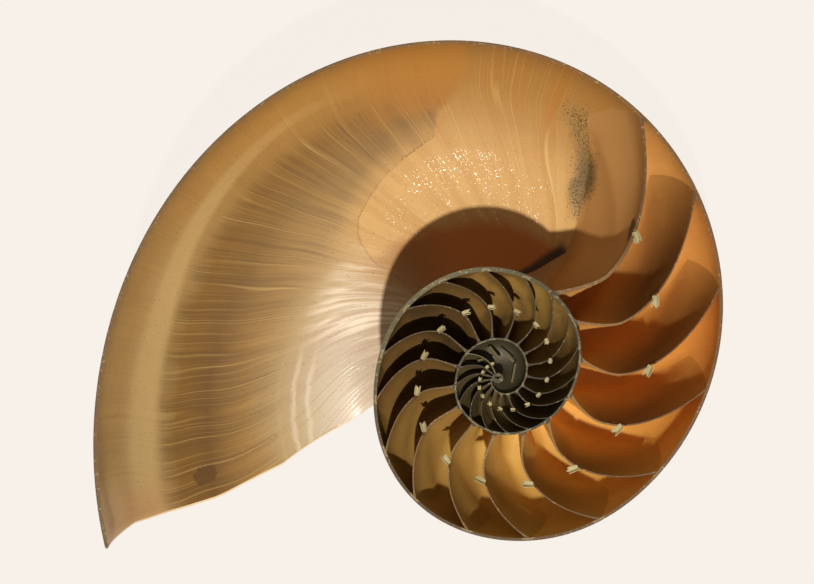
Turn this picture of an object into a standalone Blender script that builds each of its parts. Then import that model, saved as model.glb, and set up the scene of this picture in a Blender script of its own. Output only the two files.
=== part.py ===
# Half of a nautilus shell, sawn along its plane of symmetry and lying on its convex side, cut face up.
#
# The shell is worked out in a frame of its own: the sawn plane is z = 0, the shell lies below it, and the
# coil's axis is the Z axis. A place on the coil is a turn angle in degrees, which grows towards the mouth,
# and a section place w, which runs from 0 at the sawn plane, over the flank, to 1 at the umbilicus.
# At the end the shell is tipped about two axes, so that it rests as a real one does.
import math

import bmesh
import bpy
import numpy as np
from mathutils import Matrix, Vector

MM = 0.001
FULL_TURN = 360.0

# Outside radius of the coil in the sawn plane, every 30 degrees of turn, from the mouth inwards
FIRST_RADIUS_TURN = 210.0
RADIUS_STEP = 30.0
COIL_RADII_MM = (
    122.2, 111.8, 105.0, 99.8, 93.4, 83.6, 70.9, 60.0, 52.6, 48.5, 45.2, 42.1, 37.9,
    34.5, 33.4, 32.3, 30.9, 28.9, 26.0, 22.2, 19.3, 17.2, 15.7, 14.4, 13.3, 12.0,
    11.5, 11.2, 11.2, 10.8, 9.4, 7.9, 6.7, 5.4, 4.2, 3.1, 2.4, 1.8,
)

# The section of one whorl, for an outside radius of 1: an oval flank, then a hollow down to the umbilicus
SHOULDER_W = 0.72
SHOULDER_RADIUS = 0.40
SHOULDER_DEPTH = 0.358
SEAM_RADIUS = 0.07
SEAM_RISE = 0.14
OVAL_POWER = 2.25
UMBILICUS_DEPTH = 15.0 * MM

# Younger whorls are rounder: their depth as a share of the grown whorl's, and where that begins and ends
ROUNDEST = 1.38
ROUND_TURN = -90.0
GROWN_TURN = 160.0

# The mouth's edge: turn angle at each section place, and how far past it the cutter reaches
MOUTH_EDGE_W = (0.0, 0.20, 0.32, 0.46, 0.60, 0.74, 0.86, 1.0)
MOUTH_EDGE_TURN = (203.4, 202.1, 202.7, 204.0, 203.2, 198.0, 190.0, 185.0)
MOUTH_OVERSHOOT = 14.0

# Walls
OUTER_WALL = 1.15 * MM
INNER_WALL = 0.55 * MM
OUTER_WALL_TURN = -200.0
INNER_WALL_TURN = -800.0
COIL_LINING = 0.30 * MM
# Septa: thickness for septa at these turn angles, and the most half a septum takes up, in degrees
SEPTUM_THICK_TURNS = (-800.0, -200.0, 24.0, 43.0)
SEPTUM_THICK_MM = (0.45, 0.85, 0.85, 1.25)
MOST_HALF_SEPTUM = 5.0
LEAST_SQUARE_ON = 0.30

# Back-most turn angle of each septum in the sawn plane, from the mouth inwards
SEPTUM_TURNS = (
    43.0, 24.0, 1.5, -23.5, -50.5, -74.0, -99.5, -122.0, -146.0, -170.5,
    -196.5, -220.5, -243.5, -264.0, -285.0, -304.5, -322.0, -341.0, -361.0, -381.5,
    -400.5, -423.0, -444.0, -465.0, -487.0, -509.0, -532.0, -556.0, -580.0, -604.0,
)
# The hollow at the centre, where the first septa are broken away, starts here
CORE_HOLLOW_TURN = -840.0

# How a septum's edge bows forward of its back-most point, in degrees, for septa at these turn angles
BOW_TURNS = (-604.0, -400.0, -305.0, -220.0, -146.0, -75.0, 0.0, 45.0)
BOW_AT_COIL = (3.0, 5.0, 4.5, 0.0, 2.5, 9.0, 11.0, 13.0)
BOW_AT_WALL = (25.0, 24.5, 19.0, 29.0, 21.0, 19.5, 20.5, 18.0)
BOW_BACK_PLACE = 0.41
COIL_BOW_POWER = 1.5
WALL_BOW_POWER = 2.05
# The middle of the flank stands forward of that point as well
FLANK_BOW = 15.0
FLANK_BOW_W = 0.80
BOW_BLEND = 6.0
# Where a septum meets the outer wall: how much further forward at each section place, in degrees
SUTURE_W = (0.0, 0.13, 0.26, 0.40, 0.50, 0.61, 0.65, 0.71, 0.754, 0.90)
SUTURE_AHEAD = (0.0, 4.5, 9.0, 3.9, 1.1, -2.9, -5.0, 2.4, 9.5, 14.0)

# The siphuncle's necks, short tubes behind the septa at these turn angles: place across the whorl, size
NECK_TURNS = (-604.0, -340.0, -240.0, -100.0, -30.0, 45.0)
NECK_PLACE = (0.55, 0.57, 0.60, 0.62, 0.62, 0.69)
NECK_RADIUS_MM = (0.45, 0.62, 0.80, 0.95, 1.15, 1.25)
NECK_LENGTH_MM = (0.9, 1.5, 2.4, 3.2, 3.5, 3.6)
NECK_WALL = 0.40 * MM
NECK_SIDES = 10
NECK_BORE_PAST = 1.0 * MM
# Necks behind septa further in than this are too small for the solid
LAST_NECK_TURN = -345.0

# How the shell lies: tips about the X and Y axes of its own frame
TIP_X = 0.5
TIP_Y = 8.0

# Mesh steps
OUTSIDE_STEPS = 60
OUTSIDE_ROWS = 12
BODY_STEPS = 26
CHAMBER_STEPS = 2
LAYERS = 5
CHAMBER_ROWS_W = (0.0, 0.10, 0.20, 0.35, 0.50, 0.70, 0.90)
CORE_STEPS = 8
CUT_CLEARANCE = 3.0 * MM
SHARP_ANGLE = 35.0

SHELL_COLOUR = (0.62, 0.33, 0.12, 1.0)


def natural_spline(xs, ys):
    """Return the natural cubic spline through the points, as a function of x."""
    xs = np.asarray(xs, float)
    ys = np.asarray(ys, float)
    count = len(xs)
    step = np.diff(xs)
    matrix = np.eye(count)
    side = np.zeros(count)
    for i in range(1, count - 1):
        matrix[i, i - 1:i + 2] = step[i - 1], 2 * (step[i - 1] + step[i]), step[i]
        side[i] = 6 * ((ys[i + 1] - ys[i]) / step[i] - (ys[i] - ys[i - 1]) / step[i - 1])
    bends = np.linalg.solve(matrix, side)

    def value(x):
        i = int(np.clip(np.searchsorted(xs, x) - 1, 0, count - 2))
        a = (xs[i + 1] - x) / step[i]
        b = 1 - a
        curve = (a ** 3 - a) * bends[i] + (b ** 3 - b) * bends[i + 1]
        return a * ys[i] + b * ys[i + 1] + curve * step[i] ** 2 / 6

    return value


radius_turns = [FIRST_RADIUS_TURN - RADIUS_STEP * i for i in range(len(COIL_RADII_MM))]
log_radius = natural_spline(radius_turns[::-1], [math.log(r * MM) for r in COIL_RADII_MM[::-1]])


def coil_radius(turn):
    """Outside radius of the coil in the sawn plane, level further in than the radii go."""
    return math.exp(log_radius(max(turn, radius_turns[-1])))


def section(w):
    """Radius and depth of the whorl's outside for a coil radius of 1."""
    if w <= SHOULDER_W:
        angle = w / SHOULDER_W * math.pi / 2
        power = 2 / OVAL_POWER
        radius = SHOULDER_RADIUS + (1 - SHOULDER_RADIUS) * max(math.cos(angle), 0.0) ** power
        depth = SHOULDER_DEPTH * math.sin(angle) ** power
    else:
        share = (w - SHOULDER_W) / (1 - SHOULDER_W)
        radius = SHOULDER_RADIUS + (SEAM_RADIUS - SHOULDER_RADIUS) * share
        depth = SHOULDER_DEPTH - SEAM_RISE * share ** 2
    return radius, depth


def facing(w):
    """Cosine between the ray from the coil's centre and the wall's outward normal."""
    small = 0.002
    r0, d0 = section(max(w - small, 0.0))
    r1, d1 = section(min(w + small, 1.0))
    radius, depth = section(w)
    across = math.hypot(r1 - r0, d1 - d0)
    return ((d1 - d0) * radius - (r1 - r0) * depth) / across


def roundness(turn):
    """Depth of the section at this turn angle, as a share of the grown whorl's."""
    young = min(max((GROWN_TURN - turn) / (GROWN_TURN - ROUND_TURN), 0.0), 1.0)
    return 1 + (ROUNDEST - 1) * young ** 2 * (3 - 2 * young)


def shell_point(turn, scale, w, deeper):
    """Point at this turn angle, on the section of this scale, which is deeper by this share."""
    radius, depth = section(w)
    angle = math.radians(turn)
    place = radius * math.cos(angle), radius * math.sin(angle), -depth * deeper
    return Vector(place) * scale


def wall_thickness(turn):
    """Thickness of the outside wall at this turn angle."""
    return float(np.interp(turn, (INNER_WALL_TURN, OUTER_WALL_TURN), (INNER_WALL, OUTER_WALL)))


def septum_bow(turn, across, w):
    """Degrees by which a septum stands forward, at a place across the whorl (0 coil, 1 wall) and a w."""
    at_coil = float(np.interp(turn, BOW_TURNS, BOW_AT_COIL))
    at_wall = float(np.interp(turn, BOW_TURNS, BOW_AT_WALL) + np.interp(w, SUTURE_W, SUTURE_AHEAD))
    if across < BOW_BACK_PLACE:
        bow = at_coil * (1 - across / BOW_BACK_PLACE) ** COIL_BOW_POWER
    else:
        bow = at_wall * ((across - BOW_BACK_PLACE) / (1 - BOW_BACK_PLACE)) ** WALL_BOW_POWER
    flank = FLANK_BOW * (1 - math.cos(math.pi * min(w / FLANK_BOW_W, 1.0))) / 2
    return (bow ** BOW_BLEND + flank ** BOW_BLEND) ** (1 / BOW_BLEND)


def hollow_scale(turn, across, w):
    """Section scale inside a hollow: 0 on the coil below, 1 on the inside of the outer wall."""
    square_on = max(facing(w), LEAST_SQUARE_ON)
    inside = coil_radius(turn - FULL_TURN) + COIL_LINING / square_on
    outside = coil_radius(turn) - wall_thickness(turn) / square_on
    inside = min(inside, outside * 0.98)
    return inside ** (1 - across) * outside ** across


def hollow_point(turn, across, w):
    """Point inside a hollow: 0 across is on the coil below, 1 on the inside of the outer wall."""
    deeper = roundness(turn - FULL_TURN) ** (1 - across) * roundness(turn) ** across
    return shell_point(turn, hollow_scale(turn, across, w), w, deeper)


def half_septum(back_turn, radius):
    """Half a septum's thickness as degrees of turn, at this distance from the coil's axis."""
    thickness = float(np.interp(back_turn, SEPTUM_THICK_TURNS, SEPTUM_THICK_MM)) * MM
    return min(math.degrees(thickness / 2 / radius), MOST_HALF_SEPTUM)


def mouth_turn(w):
    """Turn angle of the mouth's edge."""
    return float(np.interp(w, MOUTH_EDGE_W, MOUTH_EDGE_TURN))


def skin(name, points, collection):
    """Closed skin of a block of points, indexed by [step][layer][row]."""
    mesh = bpy.data.meshes.new(name)
    shape = bmesh.new()
    verts = {}
    counts = len(points), len(points[0]), len(points[0][0])

    def vert(place):
        if place not in verts:
            verts[place] = shape.verts.new(points[place[0]][place[1]][place[2]])
        return verts[place]

    for axis in range(3):
        first, second = [a for a in range(3) if a != axis]
        for end in (0, counts[axis] - 1):
            for i in range(counts[first] - 1):
                for j in range(counts[second] - 1):
                    corners = []
                    for di, dj in ((0, 0), (1, 0), (1, 1), (0, 1)):
                        place = [0, 0, 0]
                        place[axis] = end
                        place[first] = i + di
                        place[second] = j + dj
                        corners.append(vert(tuple(place)))
                    shape.faces.new(corners)
    bmesh.ops.recalc_face_normals(shape, faces=shape.faces)
    bmesh.ops.triangulate(shape, faces=shape.faces)
    shape.to_mesh(mesh)
    shape.free()
    thing = bpy.data.objects.new(name, mesh)
    collection.objects.link(thing)
    return thing


def hollow_block(start, end, steps, layers, places):
    """Points of a hollow between two functions of (across, w) that give turn angles, at these w places."""
    block = []
    for i in range(steps + 1):
        sheet = []
        for j in range(layers + 1):
            across = j / layers
            line = []
            for w in places:
                turn = start(across, w) + (end(across, w) - start(across, w)) * i / steps
                line.append(hollow_point(turn, across, w))
            above = line[0] + Vector((0.0, 0.0, CUT_CLEARANCE))
            sheet.append([above] + line)
        block.append(sheet)
    return block


def septum_side(back_turn, side):
    """The surface of a septum: side is 1 for the face towards the mouth, -1 for the other."""
    def turn_at(across, w):
        turn = back_turn + septum_bow(back_turn, across, w)
        return turn + side * half_septum(back_turn, hollow_scale(turn, across, w) * section(w)[0])
    return turn_at


def build_outside(collection):
    """The whole half shell without its hollows."""
    mesh = bpy.data.meshes.new("nautilus_shell_half")
    shape = bmesh.new()
    start = MOUTH_EDGE_TURN[0] - FULL_TURN
    grid = []
    for i in range(OUTSIDE_STEPS + 1):
        column = []
        for k in range(OUTSIDE_ROWS + 1):
            w = k / OUTSIDE_ROWS
            turn = start + (mouth_turn(w) - start) * i / OUTSIDE_STEPS
            point = shell_point(turn, coil_radius(turn), w, roundness(turn))
            column.append(shape.verts.new(point))
        grid.append(column)
    grid.append(grid[0])
    centre = shape.verts.new((0.0, 0.0, -UMBILICUS_DEPTH))
    for this, following in zip(grid, grid[1:]):
        for k in range(OUTSIDE_ROWS):
            shape.faces.new((this[k], this[k + 1], following[k + 1], following[k]))
        shape.faces.new((this[-1], centre, following[-1]))
    shape.faces.new([column[0] for column in grid[:-1]])
    bmesh.ops.recalc_face_normals(shape, faces=shape.faces)
    bmesh.ops.triangulate(shape, faces=shape.faces)
    shape.to_mesh(mesh)
    shape.free()
    shell = bpy.data.objects.new("nautilus_shell_half", mesh)
    collection.objects.link(shell)
    return shell


def build_hollows(collection):
    """One object with the body chamber, the gas chambers and the hollow at the centre."""
    def past_mouth(across, w):
        return mouth_turn(w) + MOUTH_OVERSHOOT

    def core_start(across, w):
        return CORE_HOLLOW_TURN

    between = [(a + b) / 2 for a, b in zip(CHAMBER_ROWS_W, CHAMBER_ROWS_W[1:])]
    body_rows = sorted(CHAMBER_ROWS_W + tuple(between))
    blocks = [hollow_block(septum_side(SEPTUM_TURNS[0], 1), past_mouth, BODY_STEPS, LAYERS, body_rows)]
    for front, back in zip(SEPTUM_TURNS, SEPTUM_TURNS[1:]):
        blocks.append(hollow_block(septum_side(back, 1), septum_side(front, -1),
                                   CHAMBER_STEPS, LAYERS, CHAMBER_ROWS_W))
    core_end = septum_side(SEPTUM_TURNS[-1], -1)
    blocks.append(hollow_block(core_start, core_end, CORE_STEPS, LAYERS, CHAMBER_ROWS_W))
    hollows = [skin("hollow_%02d" % i, block, collection) for i, block in enumerate(blocks)]
    joined = bmesh.new()
    for hollow in hollows:
        joined.from_mesh(hollow.data)
        bpy.data.objects.remove(hollow)
    mesh = bpy.data.meshes.new("hollows")
    joined.to_mesh(mesh)
    joined.free()
    return add_cutter("hollows", mesh, collection)


def add_cutter(name, mesh, collection):
    """An object that only cuts others."""
    cutter = bpy.data.objects.new(name, mesh)
    cutter.hide_render = True
    cutter.display_type = "WIRE"
    collection.objects.link(cutter)
    return cutter


def neck_root(back_turn):
    """The place in the sawn plane where the siphuncle goes through a septum."""
    across = float(np.interp(back_turn, NECK_TURNS, NECK_PLACE))
    turn = back_turn + septum_bow(back_turn, across, 0.0)
    return hollow_point(turn, across, 0.0)


def build_necks(collection):
    """Two objects for the siphuncle: the necks behind the septa, and the bores through them."""
    roots = [neck_root(turn) for turn in SEPTUM_TURNS]
    tubes = bmesh.new()
    bores = bmesh.new()
    for back_turn, root, further in zip(SEPTUM_TURNS, roots, roots[1:]):
        if back_turn < LAST_NECK_TURN:
            break
        radius = float(np.interp(back_turn, NECK_TURNS, NECK_RADIUS_MM)) * MM
        length = float(np.interp(back_turn, NECK_TURNS, NECK_LENGTH_MM)) * MM
        along = (further - root).normalized()
        turned = along.to_track_quat("Z", "Y").to_matrix().to_4x4()
        for rods, size, past in ((tubes, radius, 0.0), (bores, radius - NECK_WALL, NECK_BORE_PAST)):
            middle = Matrix.Translation(root + along * length / 2)
            bmesh.ops.create_cone(rods, cap_ends=True, segments=NECK_SIDES, radius1=size, radius2=size,
                                  depth=length + 2 * past, matrix=middle @ turned)
    cutters = []
    for name, rods in (("necks", tubes), ("neck_bores", bores)):
        mesh = bpy.data.meshes.new(name)
        rods.to_mesh(mesh)
        rods.free()
        cutters.append(add_cutter(name, mesh, collection))
    return cutters


def join(thing, other, operation):
    """Add a Boolean of these two to the first."""
    modifier = thing.modifiers.new(other.name, "BOOLEAN")
    modifier.operation = operation
    modifier.solver = "EXACT"
    modifier.object = other


def shell_material():
    """Warm brown shell, satin."""
    material = bpy.data.materials.new("shell")
    material.use_nodes = True
    finish = material.node_tree.nodes["Principled BSDF"]
    finish.inputs["Base Color"].default_value = SHELL_COLOUR
    finish.inputs["Roughness"].default_value = 0.35
    finish.inputs["Metallic"].default_value = 0.0
    return material


def lay_down(shell):
    """Tip the shell as it rests, with the middle of its box's underside at the origin."""
    tip = Matrix.Rotation(math.radians(TIP_Y), 4, "Y") @ Matrix.Rotation(math.radians(TIP_X), 4, "X")
    shell.data.transform(tip)
    corners = np.array([v.co for v in shell.data.vertices])
    low = corners.min(axis=0)
    high = corners.max(axis=0)
    shell.data.transform(Matrix.Translation((-(low[0] + high[0]) / 2, -(low[1] + high[1]) / 2, -low[2])))


def main():
    for thing in list(bpy.data.objects):
        bpy.data.objects.remove(thing)
    parts = bpy.data.collections.new("nautilus_shell_half")
    cutters = bpy.data.collections.new("cutters")
    bpy.context.scene.collection.children.link(parts)
    bpy.context.scene.collection.children.link(cutters)
    shell = build_outside(parts)
    hollows = build_hollows(cutters)
    necks, bores = build_necks(cutters)
    join(hollows, necks, "DIFFERENCE")
    join(hollows, bores, "UNION")
    join(shell, hollows, "DIFFERENCE")
    view = bpy.context.evaluated_depsgraph_get()
    mesh = bpy.data.meshes.new_from_object(shell.evaluated_get(view))
    shell.modifiers.clear()
    shell.data = mesh
    lay_down(shell)
    mesh.materials.clear()
    mesh.materials.append(shell_material())
    mesh.shade_smooth()
    mesh.set_sharp_from_angle(angle=math.radians(SHARP_ANGLE))
    for cutter in (hollows, necks, bores):
        bpy.data.objects.remove(cutter)


main()
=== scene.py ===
import math

import bmesh
import bpy
import numpy as np
from mathutils import Matrix, Vector, geometry


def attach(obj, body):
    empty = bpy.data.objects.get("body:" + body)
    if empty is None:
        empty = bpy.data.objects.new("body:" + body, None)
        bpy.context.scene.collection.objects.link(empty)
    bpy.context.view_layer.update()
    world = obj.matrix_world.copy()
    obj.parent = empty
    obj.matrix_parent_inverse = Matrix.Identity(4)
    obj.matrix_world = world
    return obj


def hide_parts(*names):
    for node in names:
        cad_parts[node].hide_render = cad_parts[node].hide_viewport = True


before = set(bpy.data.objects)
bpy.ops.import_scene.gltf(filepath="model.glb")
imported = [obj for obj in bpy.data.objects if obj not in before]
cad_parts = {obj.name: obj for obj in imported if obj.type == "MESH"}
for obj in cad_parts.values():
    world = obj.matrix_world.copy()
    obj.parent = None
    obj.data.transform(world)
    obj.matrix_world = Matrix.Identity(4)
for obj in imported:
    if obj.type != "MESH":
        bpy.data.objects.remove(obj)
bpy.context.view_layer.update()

mm = 0.001
fullTurn = 360.0

shellForm = {
    # outside radius of the coil every 30 degrees, from turn 210 inwards, in mm
    "radiiMm": (122.2, 111.8, 105.0, 99.8, 93.4, 83.6, 70.9, 60.0, 52.6, 48.5, 45.2, 42.1, 37.9,
                34.5, 33.4, 32.3, 30.9, 28.9, 26.0, 22.2, 19.3, 17.2, 15.7, 14.4, 13.3, 12.0,
                11.5, 11.2, 11.2, 10.8, 9.4, 7.9, 6.7, 5.4, 4.2, 3.1, 2.4, 1.8, 1.45),
    "firstTurn": 210.0,
    "turnStep": 30.0,
    # the section of a whorl whose coil radius is 1
    "shoulderFlank": 0.72,
    "shoulderRadius": 0.40,
    "shoulderDepth": 0.358,
    "seamRadius": 0.07,
    "seamRise": 0.14,
    "ovalPower": 2.25,
    "umbilicusDepth": 15.0 * mm,
    # younger whorls are rounder: depth as a share of the grown whorl's, and where that begins and ends
    "roundest": 1.38,
    "roundTurn": -90.0,
    "grownTurn": 160.0,
    # the mouth's edge
    "mouthFlank": (0.0, 0.20, 0.32, 0.46, 0.60, 0.74, 0.86, 1.0),
    "mouthTurn": (203.4, 202.1, 202.7, 204.0, 203.2, 198.0, 190.0, 185.0),
    # wall thickness at turns, in mm
    "wallTurns": (-900.0, -600.0, -420.0, -330.0, -290.0, -240.0, -200.0, -170.0, -60.0, 60.0, 203.0),
    "wallMm": (0.40, 0.55, 0.65, 0.75, 1.15, 1.35, 1.25, 0.90, 0.80, 1.05, 1.10),
    "leastSquareOn": 0.30,
    "mostInside": 0.98,  # a hollow's inner side, as a share of its outer side at most
    # the lip swells towards the mouth by this share of the wall, and fades towards the umbilicus
    "lipBulge": 0.35,
    "lipPower": 8,
    # how the shell lies, as the solid does
    "tipX": 0.5,
    "tipY": 8.0,
    "cadSteps": 60,
    "lift": 0.03 * mm,
    "trim": 0.997,  # keeps the finer outline inside the solid's box
}

septumForm = {
    # back-most turn of each septum at the saw cut, from the mouth inwards
    "turns": (43.0, 24.0, 1.5, -23.5, -50.5, -74.0, -99.5, -122.0, -146.0, -170.5,
              -196.5, -220.5, -243.5, -264.0, -285.0, -304.5, -322.0, -341.0, -361.0, -381.5,
              -400.5, -423.0, -444.0, -465.0, -487.0, -509.0, -532.0, -556.0, -580.0, -604.0),
    "coreTurn": -872.0,
    # how far the edge bows forward, in degrees
    "bowTurns": (-604.0, -400.0, -305.0, -220.0, -146.0, -75.0, 0.0, 45.0),
    "bowAtCoil": (3.0, 5.0, 4.5, 0.0, 2.5, 9.0, 11.0, 13.0),
    "bowAtWall": (25.0, 24.5, 19.0, 29.0, 21.0, 19.5, 20.5, 18.0),
    "backPlace": 0.41,
    "coilPower": 1.5,
    "wallPower": 2.05,
    "flankBow": 15.0,
    "flankBowPlace": 0.80,
    "bowBlend": 6.0,
    # how much further forward a septum meets the outer wall, by flank
    "sutureFlank": (0.0, 0.13, 0.26, 0.40, 0.50, 0.61, 0.65, 0.71, 0.754, 0.90),
    "sutureAhead": (0.0, 4.5, 9.0, 3.9, 1.1, -2.9, -5.0, 2.4, 9.5, 14.0),
    "endFlank": 0.90,
    # the round hole at the hub
    "pitMm": (-0.1, 0.55),
    "pitRadiusMm": 0.85,
    "pitDepthMm": 2.2,
    # thickness in mm at turns, and how it swells into the walls
    "thickTurns": (-650.0, -400.0, -150.0, 20.0, 43.0),
    "thickMm": (0.26, 0.34, 0.46, 0.54, 0.95),
    "filletMm": 1.0,
    "filletReachMm": 1.1,
    "filletSize": (0.35, 0.55, 0.9, 1.0, 1.0),
    "wallFillet": 0.7,
    "mostHalf": 5.0,
    # reach across, middle flank and reach along the flank of the siphuncle's hole and the shade around it,
    # both painted shade
    "hole": (0.045, 0.055, 0.055),
    "shade": (0.40, 0.0, 0.45),
    "shadeShare": 0.4,
}

neckForm = {
    # how far across the whorl the siphuncle goes through, and its necks, at turns
    "placeTurns": (-604.0, -340.0, -240.0, -100.0, -30.0, 45.0),
    "place": (0.55, 0.57, 0.60, 0.62, 0.62, 0.69),
    "radiusMm": (0.42, 0.56, 0.74, 0.86, 1.02, 1.12),
    "lengthMm": (0.9, 1.35, 2.2, 2.8, 3.0, 3.1),
    "wallMm": 0.26,
    "taper": -0.22,
    "flarePower": 3,
    # the broken end: how far its teeth stand out, how many, how they turn from neck to neck
    "ragged": 0.32,
    "teeth": (3, 7),
    "smallTeeth": 0.6,
    "teethTurn": 9000,
    "raggedPower": 4,
    "sinkMm": 0.02,
    "beforeFirst": -628.0,
    "alongSteps": 7,
    "aroundSteps": 18,
}

meshSteps = {
    "outside": 360,
    "body": 150,
    "rows": 36,
    "seamRows": 10,
    "chamberRows": 15,
    "chamberAcross": 20,
    "chamberAlong": 8,
    "core": 30,
    "pit": 16,
    "lip": 5,
    "centreRings": 5,
    "notch": 13,
    "rowSpread": 1.15,
    "weldMm": 0.0002,
    "sharpDegrees": 40,
}


def smoothCurve(xs, ys):  # natural cubic spline through the points
    xs, ys = np.asarray(xs, float), np.asarray(ys, float)
    count, step = len(xs), np.diff(xs)
    matrix, side = np.eye(count), np.zeros(count)
    for i in range(1, count - 1):
        matrix[i, i - 1:i + 2] = step[i - 1], 2 * (step[i - 1] + step[i]), step[i]
        side[i] = 6 * ((ys[i + 1] - ys[i]) / step[i] - (ys[i] - ys[i - 1]) / step[i - 1])
    bends = np.linalg.solve(matrix, side)

    def value(x):
        i = np.clip(np.searchsorted(xs, x) - 1, 0, count - 2)
        a = (xs[i + 1] - x) / step[i]
        b = 1 - a
        curve = (a ** 3 - a) * bends[i] + (b ** 3 - b) * bends[i + 1]
        return a * ys[i] + b * ys[i + 1] + curve * step[i] ** 2 / 6
    return value


radiusTurns = shellForm["firstTurn"] - shellForm["turnStep"] * np.arange(len(shellForm["radiiMm"]))
logRadius = smoothCurve(radiusTurns[::-1], np.log(np.array(shellForm["radiiMm"][::-1]) * mm))


def coilRadius(turn):  # level further in than the radii go
    return np.exp(logRadius(np.maximum(turn, radiusTurns[-1])))


def section(flank):  # radius and depth of a whorl of coil radius 1
    form = shellForm
    flank = np.asarray(flank, float)
    angle = np.clip(flank / form["shoulderFlank"], 0, 1) * math.pi / 2
    power = 2 / form["ovalPower"]
    radius = form["shoulderRadius"] + (1 - form["shoulderRadius"]) * np.abs(np.cos(angle)) ** power
    depth = form["shoulderDepth"] * np.sin(angle) ** power
    share = (flank - form["shoulderFlank"]) / (1 - form["shoulderFlank"])
    seam = form["shoulderRadius"] + (form["seamRadius"] - form["shoulderRadius"]) * share
    rise = form["shoulderDepth"] - form["seamRise"] * share ** 2
    under = flank > form["shoulderFlank"]
    return np.where(under, seam, radius), np.where(under, rise, depth)


def squareOn(flank):  # how square the wall stands to the ray from the coil's centre
    small = 0.002
    r0, d0 = section(np.maximum(flank - small, 0))
    r1, d1 = section(np.minimum(flank + small, 1))
    radius, depth = section(flank)
    return np.maximum(((d1 - d0) * radius - (r1 - r0) * depth) / np.hypot(r1 - r0, d1 - d0),
                      shellForm["leastSquareOn"])


def roundness(turn, across=1.0):  # how deep the section is, from the coil below to the outer wall
    form = shellForm
    deeper = []
    for place in (np.asarray(turn) - fullTurn, np.asarray(turn)):
        young = np.clip((form["grownTurn"] - place) / (form["grownTurn"] - form["roundTurn"]), 0, 1)
        deeper.append(1 + (form["roundest"] - 1) * young ** 2 * (3 - 2 * young))
    return deeper[0] ** (1 - across) * deeper[1] ** across


def shellPoint(turn, scale, flank, across=1.0):
    radius, depth = section(flank)
    depth = depth * roundness(turn, across)
    angle = np.radians(turn)
    return np.stack(np.broadcast_arrays(scale * radius * np.cos(angle), scale * radius * np.sin(angle),
                                        -scale * depth), -1)


def septumBow(turn, across, flank):
    form = septumForm
    atCoil = np.interp(turn, form["bowTurns"], form["bowAtCoil"])
    ahead = np.interp(flank, form["sutureFlank"], form["sutureAhead"])
    atWall = np.interp(turn, form["bowTurns"], form["bowAtWall"]) + ahead
    back = form["backPlace"]
    inner = atCoil * np.clip(1 - across / back, 0, 1) ** form["coilPower"]
    outer = atWall * np.clip((across - back) / (1 - back), 0, 1) ** form["wallPower"]
    side = form["flankBow"] * (1 - np.cos(math.pi * np.minimum(flank / form["flankBowPlace"], 1))) / 2
    blend = form["bowBlend"]
    return ((inner + outer) ** blend + side ** blend) ** (1 / blend)


def hollowScale(turn, across, flank):  # scale of the section inside a hollow
    facing = squareOn(flank)
    inside = coilRadius(turn - fullTurn)
    wall = np.interp(turn, shellForm["wallTurns"], shellForm["wallMm"]) * mm
    outside = coilRadius(turn) - wall / facing
    return np.minimum(inside, outside * shellForm["mostInside"]) ** (1 - across) * outside ** across


def hollowPoint(turn, across, flank):
    return shellPoint(turn, hollowScale(turn, across, flank), flank, across)


def septumTurn(back, side, across, flank):  # one face of a septum: side 1 looks towards the mouth
    turn = back + septumBow(back, across, flank)
    scale = hollowScale(turn, across, flank)
    inner, outer = hollowScale(turn, 0.0, flank), hollowScale(turn, 1.0, flank)
    radius = scale * section(flank)[0]
    thick = np.interp(back, septumForm["thickTurns"], septumForm["thickMm"]) * mm
    size = np.interp(back, septumForm["thickTurns"], septumForm["filletSize"])
    reach = septumForm["filletReachMm"] * mm * size
    fillet = (np.exp(-((scale - inner) / reach))
              + septumForm["wallFillet"] * np.exp(-((outer - scale) / reach)))
    thick = thick + septumForm["filletMm"] * mm * size * fillet
    return turn + side * np.minimum(np.degrees(thick / 2 / radius), septumForm["mostHalf"])


skin = {"points": [], "faces": [], "slots": [], "values": [], "count": 0}
valueNames = ("turn", "across", "flank", "rim", "bore")
slotNames = ("outside", "bodyWall", "coilBack", "lastSeptum", "chamber", "sawn")


def addGrid(points, slot, turn, across, flank, rim=None, bore=0.0):  # a sheet of points [i][j] as quads
    rows, cols = points.shape[:2]
    ids = np.arange(rows * cols).reshape(rows, cols) + skin["count"]
    quads = np.stack((ids[:-1, :-1], ids[1:, :-1], ids[1:, 1:], ids[:-1, 1:]), -1).reshape(-1, 4)
    if rim is None:
        rim = np.hypot(points[..., 0], points[..., 1]) / coilRadius(turn)
    fields = [np.broadcast_to(v, (rows, cols)).reshape(-1) for v in (turn, across, flank, rim, bore)]
    skin["points"].append(points.reshape(-1, 3))
    skin["values"].append(np.stack(fields, -1))
    skin["faces"].extend(quads.tolist())
    skin["slots"].extend([slotNames.index(slot)] * len(quads))
    skin["count"] += rows * cols
    return ids


def addHollow(slot, turn, across, flank, bore=0.0):  # a sheet that lines a hollow
    points = hollowPoint(turn, across, flank)
    addGrid(points, slot, turn, across, flank, bore=bore)
    return points


def neckValue(name, back):
    return float(np.interp(back, neckForm["placeTurns"], neckForm[name]))


def acrossPlaces(back):  # places across a septum, close together where the siphuncle goes through
    centre, radius = neckValue("place", back), neckValue("radiusMm", back) * mm
    turn = back + septumBow(back, centre, 0.0)
    inner, outer = coilRadius(turn - fullTurn), coilRadius(turn)
    span = math.log(outer / inner) * hollowScale(turn, centre, 0.0)
    arcs = np.cos(np.linspace(math.pi, 0, meshSteps["notch"]))
    notch = centre + arcs * radius / span
    low = int(round(meshSteps["chamberAcross"] * notch[0]))
    high = meshSteps["chamberAcross"] - low
    places = np.concatenate((np.linspace(0, notch[0], low + 1)[:-1], notch,
                             np.linspace(notch[-1], 1, high + 1)[1:]))
    dips = np.concatenate((np.zeros(low), np.sqrt(np.maximum(1 - arcs ** 2, 0)) * radius, np.zeros(high)))
    return places, dips


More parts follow.
